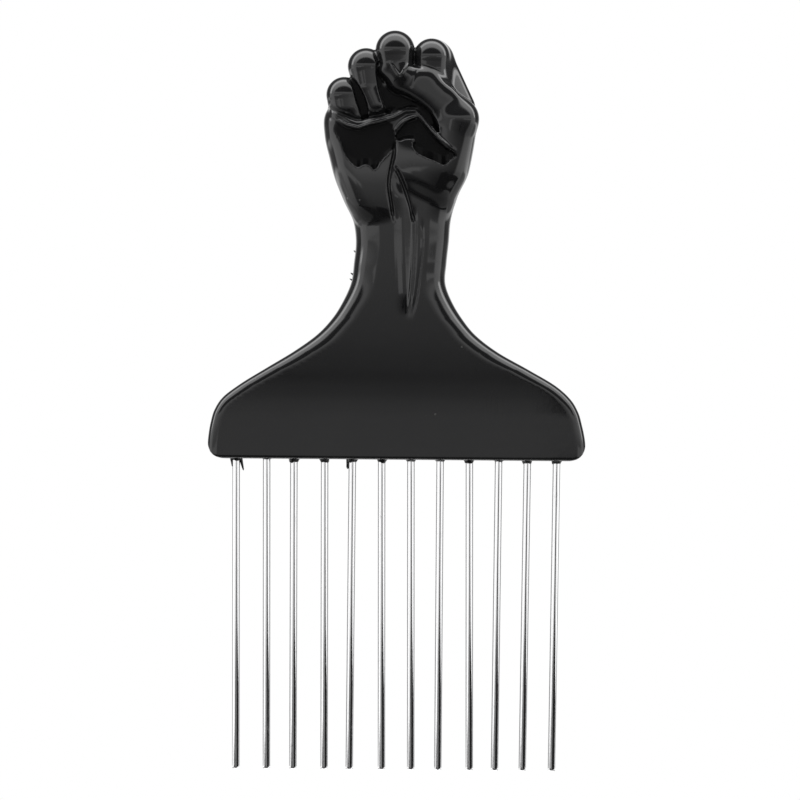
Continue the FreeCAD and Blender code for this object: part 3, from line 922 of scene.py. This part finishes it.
# How often and how far a vertex is pulled towards the true surface, and the least slope that counts, squared
PULLS = 2
PULL_REACH = 0.12
LEAST_SLOPE = 0.2
# From across, forward and height to X, Y and Z
AXES = np.array((1.0, -1.0, 1.0))


def sculpt(name, field, planes):
    """Mesh a field in millimetres into an object in metres, with smooth normals."""
    slabs = np.split(planes[2], [np.searchsorted(planes[2], HAND_FOOT)])
    grids = [np.meshgrid(*planes[:2], slab, indexing="ij", sparse=True) for slab in slabs]
    values = np.concatenate([field(tuple(grid)) for grid in grids], axis=2)
    settle(values)
    inside = values < 0
    corners = cell_corners(inside)
    cells = np.argwhere((corners > 0) & (corners < 8))
    number = np.full(corners.shape, -1, np.int64)
    number[tuple(cells.T)] = np.arange(len(cells))
    points = net_vertices(values, planes, cells)
    for _ in range(PULLS):
        here, gradient = slope_of(field, points)
        pull = -here / np.maximum((gradient ** 2).sum(1), LEAST_SLOPE)
        pull = np.clip(pull, -PULL_REACH, PULL_REACH)
        points += pull[:, None] * gradient
    _, gradient = slope_of(field, points)
    normals = gradient / np.linalg.norm(gradient, axis=1)[:, None]
    piece = new_piece(name, (points * AXES * MM).tolist(), net_faces(inside, number).tolist())
    mesh = piece.data
    mesh.shade_smooth()
    mesh.normals_split_custom_set_from_vertices((normals * AXES).tolist())
    print(name, len(mesh.vertices), "vertices,", 2 * len(mesh.polygons), "triangles")
    return piece


palm_half = sculpt("fist_front", front_half, (ACROSS, FORWARD, HEIGHTS))
back_half = sculpt("fist_rear", rear_half, (ACROSS, BACKWARD, HEIGHTS))

# %% [markdown]
# ## Black gloss plastic
# Moulded polystyrene is black right through, so all that shows is its gloss. The finish is very smooth, with
# a faint waviness from the mould, hairline scratches and a few dust specks. Scratches and dust are also on
# the steel, so they are node groups that each material places with its own values.

# %% Shared effects
SCRATCH_TURNS = (0.5, -0.8)
SCRATCH_TILT = 0.2
SCRATCH_STRETCH = (1.0, 1.0, 0.06)
PATCH_EDGE = (0.55, 0.7)


def effect_group(name, sockets_in, sockets_out):
    """Start a shader node group with named float sockets."""
    group = bpy.data.node_groups.new(name, "ShaderNodeTree")
    for label, value in sockets_in:
        kind = "NodeSocketVector" if value is None else "NodeSocketFloat"
        socket = group.interface.new_socket(label, in_out="INPUT", socket_type=kind)
        if value is not None:
            socket.default_value = value
    for label in sockets_out:
        group.interface.new_socket(label, in_out="OUTPUT", socket_type="NodeSocketFloat")
    return group, add(group, "NodeGroupInput").outputs, add(group, "NodeGroupOutput").inputs


def scratches_group():
    """Hairline scratches: long thin streaks where stretched noise crosses a level."""
    group, given, result = effect_group(
        "hairline_scratches", (("Place", None), ("Scale", 900.0), ("Width", 0.012)), ("Mask",)
    )
    masks = []
    for turn in SCRATCH_TURNS:
        turned = add(group, "ShaderNodeMapping", {
            "Vector": given["Place"], "Rotation": (SCRATCH_TILT, turn, 0.0), "Scale": SCRATCH_STRETCH,
        }).outputs[0]
        noise = add(group, "ShaderNodeTexNoise", {"Vector": turned, "Scale": given["Scale"], "Detail": 1.0})
        away = calc(group, "ABSOLUTE", calc(group, "SUBTRACT", noise.outputs["Fac"], 0.5))
        line = calc(group, "SUBTRACT", 1.0, calc(group, "DIVIDE", away, given["Width"]), clamp=True)
        patch = add(group, "ShaderNodeTexNoise", {"Vector": given["Place"], "Scale": 120.0 + 40.0 * turn})
        masks.append(calc(group, "MULTIPLY", line, eased_step(group, patch.outputs["Fac"], *PATCH_EDGE)))
    group.links.new(calc(group, "MAXIMUM", *masks), result["Mask"])
    return group


def dust_group():
    """Dust: small specks in some cells of a Voronoi pattern."""
    group, given, result = effect_group(
        "dust_specks", (("Place", None), ("Scale", 420.0), ("Size", 0.12), ("Share", 0.08)), ("Mask",)
    )
    cells = add(group, "ShaderNodeTexVoronoi", {"Vector": given["Place"], "Scale": given["Scale"]})
    draw = add(group, "ShaderNodeSeparateColor", {0: cells.outputs["Color"]}).outputs[0]
    chosen = calc(group, "LESS_THAN", draw, given["Share"])
    speck = calc(group, "LESS_THAN", cells.outputs["Distance"], given["Size"])
    group.links.new(calc(group, "MULTIPLY", chosen, speck), result["Mask"])
    return group


SCRATCHES = scratches_group()
DUST = dust_group()
print("shared effects:", SCRATCHES.name, DUST.name)

# %% Plastic
PLASTIC_TINTS = ((0.0065, 0.0065, 0.007, 1.0), (0.0095, 0.0095, 0.0098, 1.0))
PALE_DUST = (0.12, 0.12, 0.115, 1.0)
PLASTIC_ROUGHNESS = 0.06


def place_group(tree, group, **values):
    """Put a shared effect into a material with its own values."""
    return add(tree, "ShaderNodeGroup", values, node_tree=group).outputs["Mask"]


def build_up(tree, base, *layers):
    """A base value plus each mask times its weight."""
    for mask, weight in layers:
        base = calc(tree, "ADD", base, calc(tree, "MULTIPLY", mask, weight))
    return base


def finish(tree, **inputs):
    """Close a tree with one Principled shader."""
    named = {name.replace("_", " "): value for name, value in inputs.items()}
    shader = add(tree, "ShaderNodeBsdfPrincipled", named)
    add(tree, "ShaderNodeOutputMaterial", {"Surface": shader.outputs[0]})


def black_gloss():
    """Black moulded plastic with a hard gloss."""
    material, tree, place = new_material("black_gloss")
    scratched = place_group(tree, SCRATCHES, Place=place, Scale=700.0, Width=0.01)
    dusty = place_group(tree, DUST, Place=place, Scale=330.0, Size=0.1, Share=0.035)
    bloom = add(tree, "ShaderNodeTexNoise", {"Vector": place, "Scale": 90.0, "Detail": 3.0}).outputs["Fac"]
    base = mix_tones(tree, bloom, *PLASTIC_TINTS)
    colour = mix_tones(tree, calc(tree, "MULTIPLY", dusty, 0.35), base, PALE_DUST)
    rough = build_up(tree, PLASTIC_ROUGHNESS, (bloom, 0.04), (scratched, 0.12), (dusty, 0.3))
    peel = add(tree, "ShaderNodeTexNoise", {"Vector": place, "Scale": 260.0, "Detail": 2.0}).outputs["Fac"]
    height = calc(tree, "SUBTRACT", peel, calc(tree, "MULTIPLY", scratched, 0.25))
    bump = add(tree, "ShaderNodeBump", {"Height": height, "Strength": 0.35, "Distance": 0.00003})
    finish(tree, Base_Color=colour, Roughness=rough, IOR=1.5, Normal=bump.outputs[0])
    return material


PLASTIC = black_gloss()
for piece in (palm_half, back_half):
    piece.data.materials.append(PLASTIC)
print("plastic nodes:", len(PLASTIC.node_tree.nodes))

# %% [markdown]
# ## Steel
# The tines are drawn steel wire, polished bright. Drawing leaves fine lines along the wire, so the bump is a
# noise stretched along its length.

# %% Steel
STEEL_TINTS = ((0.7, 0.7, 0.705, 1.0), (0.8, 0.8, 0.805, 1.0))
DARK_DUST = (0.35, 0.34, 0.32, 1.0)
STEEL_ROUGHNESS = 0.05
DRAWN_STRETCH = (1.0, 1.0, 0.02)


def bright_steel():
    """Polished drawn wire."""
    material, tree, place = new_material("bright_steel")
    along = add(tree, "ShaderNodeMapping", {"Vector": place, "Scale": DRAWN_STRETCH}).outputs[0]
    drawn = add(tree, "ShaderNodeTexNoise", {"Vector": along, "Scale": 6000.0, "Detail": 3.0}).outputs["Fac"]
    scratched = place_group(tree, SCRATCHES, Place=place, Scale=2600.0, Width=0.02)
    dusty = place_group(tree, DUST, Place=place, Scale=1500.0, Size=0.2, Share=0.05)
    clean = mix_tones(tree, drawn, *STEEL_TINTS)
    colour = mix_tones(tree, calc(tree, "MULTIPLY", dusty, 0.3), clean, DARK_DUST)
    rough = build_up(tree, STEEL_ROUGHNESS, (drawn, 0.05), (scratched, 0.15))
    bump = add(tree, "ShaderNodeBump", {"Height": drawn, "Strength": 0.1, "Distance": 0.00001})
    finish(tree, Base_Color=colour, Metallic=1.0, Roughness=rough, Normal=bump.outputs[0])
    return material


STEEL = bright_steel()
print("steel nodes:", len(STEEL.node_tree.nodes))

# %% [markdown]
# ## Tines
# A tine is a straight wire with a rounded tip. All twelve come from one Geometry Nodes tree: a line from the
# root to the tip becomes a tube, and a formula draws its radius in at the tip. The ends are read from the
# CAD tines, so each one keeps its own slight lean.

# %% Tine tree
TINES = sorted(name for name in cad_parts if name.startswith("tine_"))
WIRE_RADIUS = 0.9 * MM
TIP_ROUND = 0.55 * MM
WIRE_RINGS, WIRE_SIDES = 48, 24
TIP_CROWDING = 3.0


def geometry_tree(name, sockets_in):
    """Start a Geometry Nodes tree with named inputs."""
    tree = bpy.data.node_groups.new(name, "GeometryNodeTree")
    for label, kind in sockets_in:
        tree.interface.new_socket(label, in_out="INPUT", socket_type=f"NodeSocket{kind}")
    tree.interface.new_socket("Geometry", in_out="OUTPUT", socket_type="NodeSocketGeometry")
    return tree, add(tree, "NodeGroupInput").outputs


def close_tree(tree, geometry, material):
    """End a tree with real geometry and its material."""
    real = add(tree, "GeometryNodeRealizeInstances", {"Geometry": geometry}).outputs[0]
    dressed = add(tree, "GeometryNodeSetMaterial", {"Geometry": real, "Material": material}).outputs[0]
    add(tree, "NodeGroupOutput", {"Geometry": dressed})


def tine_tree():
    """A wire from root to tip, drawn in at the tip."""
    tree, given = geometry_tree("steel_tine", (
        ("Root", "Vector"), ("Tip", "Vector"), ("Wire radius", "Float"), ("Tip rounding", "Float"),
        ("Rings", "Int"), ("Sides", "Int"),
    ))
    ends = {"Start": given["Root"], "End": given["Tip"]}
    line = add(tree, "GeometryNodeCurvePrimitiveLine", ends).outputs[0]
    rings = add(tree, "GeometryNodeResampleCurve", {"Curve": line, "Count": given["Rings"]}).outputs[0]
    share = add(tree, "GeometryNodeSplineParameter").outputs["Factor"]
    # Rings crowd towards the tip, where the rounding is
    to_go = calc(tree, "POWER", calc(tree, "SUBTRACT", 1.0, share), TIP_CROWDING)
    span = vector_calc(tree, "SUBTRACT", given["Tip"], given["Root"])
    step = vector_calc(tree, "SCALE", span, Scale=calc(tree, "SUBTRACT", 1.0, to_go))
    spot = vector_calc(tree, "ADD", given["Root"], step)
    placed = add(tree, "GeometryNodeSetPosition", {"Geometry": rings, "Position": spot}).outputs[0]
    here = add(tree, "GeometryNodeInputPosition").outputs[0]
    to_tip = vector_calc(tree, "DISTANCE", here, given["Tip"])
    lack = calc(tree, "SUBTRACT", 1.0, calc(tree, "DIVIDE", to_tip, given["Tip rounding"]), clamp=True)
    bulge = calc(tree, "SQRT", calc(tree, "SUBTRACT", 1.0, calc(tree, "MULTIPLY", lack, lack)))
    drawn_in = calc(tree, "MULTIPLY", given["Tip rounding"], calc(tree, "SUBTRACT", 1.0, bulge))
    radius = calc(tree, "SUBTRACT", given["Wire radius"], drawn_in)
    circle = add(tree, "GeometryNodeCurvePrimitiveCircle", {"Resolution": given["Sides"], "Radius": 1.0})
    wire = {"Curve": placed, "Profile Curve": circle.outputs[0], "Fill Caps": True, "Scale": radius}
    tube = add(tree, "GeometryNodeCurveToMesh", wire).outputs[0]
    smooth = add(tree, "GeometryNodeSetShadeSmooth", {"Geometry": tube, "Shade Smooth": True}).outputs[0]
    close_tree(tree, smooth, STEEL)
    return tree


TINE_TREE = tine_tree()
print("tine tree:", len(TINE_TREE.nodes), "nodes")

# %% Twelve tines
# Vertices this close to the highest or lowest one belong to an end
END_DEPTH = 0.02 * MM


def grow(name, tree, values, base=None):
    """Run a tree once on a new object and keep its result as a plain mesh."""
    piece = bpy.data.objects.new(name, base or bpy.data.meshes.new(f"{name}_seed"))
    scene.collection.objects.link(piece)
    modifier = piece.modifiers.new("grow", "NODES")
    modifier.node_group = tree
    for item in tree.interface.items_tree:
        if item.in_out == "INPUT" and item.name in values:
            modifier[item.identifier] = values[item.name]
    bpy.context.view_layer.update()
    evaluated = piece.evaluated_get(bpy.context.evaluated_depsgraph_get())
    mesh = bpy.data.meshes.new_from_object(evaluated)
    mesh.name = name
    piece.modifiers.clear()
    piece.data = mesh
    return piece


def tine_ends(node):
    """Root and tip of a CAD tine: the middles of its highest and lowest vertices."""
    points = np.array([vertex.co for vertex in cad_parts[node].data.vertices])
    heights = points[:, 2]
    top = points[heights > heights.max() - END_DEPTH].mean(axis=0)
    bottom = points[heights < heights.min() + END_DEPTH].mean(axis=0)
    return top, bottom


tine_pieces = {}
for node in TINES:
    root, tip = tine_ends(node)
    sizes = {
        "Root": root.tolist(), "Tip": tip.tolist(), "Wire radius": WIRE_RADIUS, "Tip rounding": TIP_ROUND,
        "Rings": WIRE_RINGS, "Sides": WIRE_SIDES,
    }
    tine_pieces[node] = grow(f"wire_{node[-2:]}", TINE_TREE, sizes)
print(len(tine_pieces), "tines of", len(tine_pieces[TINES[0]].data.vertices), "vertices")

# %% [markdown]
# ## Plastic collars round the tine roots
# When the halves close on the wires, a little plastic squeezes out and stays as a black collar round a root.
# No two are alike. A second tree puts one lathed collar on each root, as tall as that root's own value says,
# and turns it by a seeded random angle.

# %% Collar tree
# Heights as shares of a plain collar, from the first tine to the last
COLLAR_HEIGHTS = (0.7, 0.25, 1.1, 1.1, 0.9, 1.0, 0.6, 0.5, 1.0, 0.4, 0.9, 0.9)
COLLAR_LENGTH = 1.0 * MM
COLLAR_DROP = 0.8 * MM
COLLAR_RADIUS = 0.98 * MM
COLLAR_FLARE = 1.4 * MM
COLLAR_LUMPS = 0.9 * MM
COLLAR_SEED = 5


def collar_tree():
    """A squeezed-out collar on each point, scaled by the point's height."""
    tree, given = geometry_tree("root_collar", (
        ("Geometry", "Geometry"), ("Radius", "Float"), ("Flare", "Float"), ("Seed", "Int"),
    ))
    cone = add(tree, "GeometryNodeMeshCone", {
        "Vertices": 20, "Side Segments": 5, "Fill Segments": 2, "Radius Top": given["Flare"],
        "Radius Bottom": given["Radius"], "Depth": COLLAR_LENGTH,
    }).outputs["Mesh"]
    lowered = {"Geometry": cone, "Translation": (0.0, 0.0, -COLLAR_DROP)}
    down = add(tree, "GeometryNodeTransform", lowered).outputs[0]
    place = add(tree, "GeometryNodeInputPosition").outputs[0]
    lumps = add(tree, "ShaderNodeTexNoise", {"Vector": place, "Scale": 900.0, "Detail": 1.0}).outputs["Color"]
    centred = vector_calc(tree, "SUBTRACT", lumps, (0.5, 0.5, 0.5))
    push = vector_calc(tree, "SCALE", centred, Scale=COLLAR_LUMPS)
    lumpy = add(tree, "GeometryNodeSetPosition", {"Geometry": down, "Offset": push}).outputs[0]
    tall = add(tree, "GeometryNodeInputNamedAttribute", {"Name": "collar"}, data_type="FLOAT")
    size = add(tree, "ShaderNodeCombineXYZ", {"X": 1.0, "Y": 1.0, "Z": tall.outputs["Attribute"]}).outputs[0]
    turn = add(tree, "FunctionNodeRandomValue", {"Max": (0.0, 0.0, math.tau), "Seed": given["Seed"]},
               data_type="FLOAT_VECTOR").outputs[0]
    smooth = add(tree, "GeometryNodeSetShadeSmooth", {"Geometry": lumpy, "Shade Smooth": True}).outputs[0]
    points = add(tree, "GeometryNodeMeshToPoints", {"Mesh": given["Geometry"]}).outputs[0]
    spread = add(tree, "GeometryNodeInstanceOnPoints", {
        "Points": points, "Instance": smooth, "Rotation": turn, "Scale": size,
    }).outputs[0]
    close_tree(tree, spread, PLASTIC)
    return tree


def root_points():
    """One vertex where each tine leaves the underside, with its collar's height."""
    spots = []
    for node in TINES:
        root, tip = tine_ends(node)
        share = (root[2] - UNDERSIDE * MM) / (root[2] - tip[2])
        spots.append(root + share * (tip - root))
    mesh = bpy.data.meshes.new("tine_roots")
    mesh.from_pydata([spot.tolist() for spot in spots], [], [])
    heights = mesh.attributes.new("collar", "FLOAT", "POINT")
    heights.data.foreach_set("value", COLLAR_HEIGHTS)
    return mesh


collar_sizes = {"Radius": COLLAR_RADIUS, "Flare": COLLAR_FLARE, "Seed": COLLAR_SEED}
collars = grow("root_collars", collar_tree(), collar_sizes, root_points())
print("collars:", len(collars.data.vertices), "vertices")

# %% [markdown]
# ## Flash
# Thin ragged tongues of plastic hang where the mould leaked: two at the first tine, one at the fifth, and a
# torn edge along the seam on the little-finger side of the wrist. Each is a small blade, thick at its foot
# and drawn to a point, so it is written out as a few rings of points.

# %% Flash blades
FLASH_THICKNESS = 0.35
# Foot across and height, tip across and height, and width at the foot, in millimetres
FLASH_BLADES = (
    (-38.6, -46.2, -38.6, -48.6, 1.7),
    (-36.9, -46.2, -36.1, -49.4, 1.0),
    (-10.9, -46.2, -11.5, -48.8, 2.0),
    (-9.7, 2.2, -10.5, 2.9, 0.6),
    (-10.2, -3.1, -11.2, -2.4, 0.7),
    (-10.5, -4.3, -11.4, -3.8, 0.6),
)
# Share of the way from foot to tip, and share of the foot's width and thickness there
BLADE_RINGS = ((-0.3, 1.0), (0.25, 0.8), (0.6, 0.55), (0.88, 0.38), (1.0, 0.1))


def flash_blades():
    """All blades in one mesh of four-sided rings."""
    points, faces = [], []
    for foot_x, foot_z, tip_x, tip_z, width in FLASH_BLADES:
        along = np.array((tip_x - foot_x, tip_z - foot_z))
        side = np.array((-along[1], along[0])) / np.hypot(*along)
        first = len(points)
        for share, size in BLADE_RINGS:
            middle = np.array((foot_x, foot_z)) + share * along
            for across, depth in ((-1, -1), (1, -1), (1, 1), (-1, 1)):
                x, z = middle + side * across * size * width / 2
                points.append((x * MM, depth * size * FLASH_THICKNESS / 2 * MM, z * MM))
        rings = len(BLADE_RINGS)
        for ring in range(rings - 1):
            for corner in range(4):
                here, after = first + 4 * ring, first + 4 * ring + 4
                ahead = (corner + 1) % 4
                faces.append((here + corner, here + ahead, after + ahead, after + corner))
        faces.append((first + 3, first + 2, first + 1, first))
        last = first + 4 * (rings - 1)
        faces.append((last, last + 1, last + 2, last + 3))
    piece = new_piece("mould_flash", points, faces)
    work = bmesh.new()
    work.from_mesh(piece.data)
    bmesh.ops.recalc_face_normals(work, faces=work.faces)
    work.to_mesh(piece.data)
    work.free()
    piece.data.shade_smooth()
    piece.data.materials.append(PLASTIC)
    return piece


flash = flash_blades()
print("flash blades:", len(FLASH_BLADES))

# %% [markdown]
# ## Who carries what
# Nothing on the pick moves, so every piece rides on the one body of the imported model. The sculpted halves
# and the drawn tines stand for the CAD solids, which stay hidden and keep their work in the physics.

# %% Ride and replace
for piece, node in ((palm_half, "handle_front"), (back_half, "handle_rear")):
    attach(piece, "root")
    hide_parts(node)
for node, piece in tine_pieces.items():
    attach(piece, "root")
    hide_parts(node)
for piece in (collars, flash):
    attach(piece, "root")
print("handle pieces:", len((palm_half, back_half, collars, flash)), "tine pieces:", len(tine_pieces))
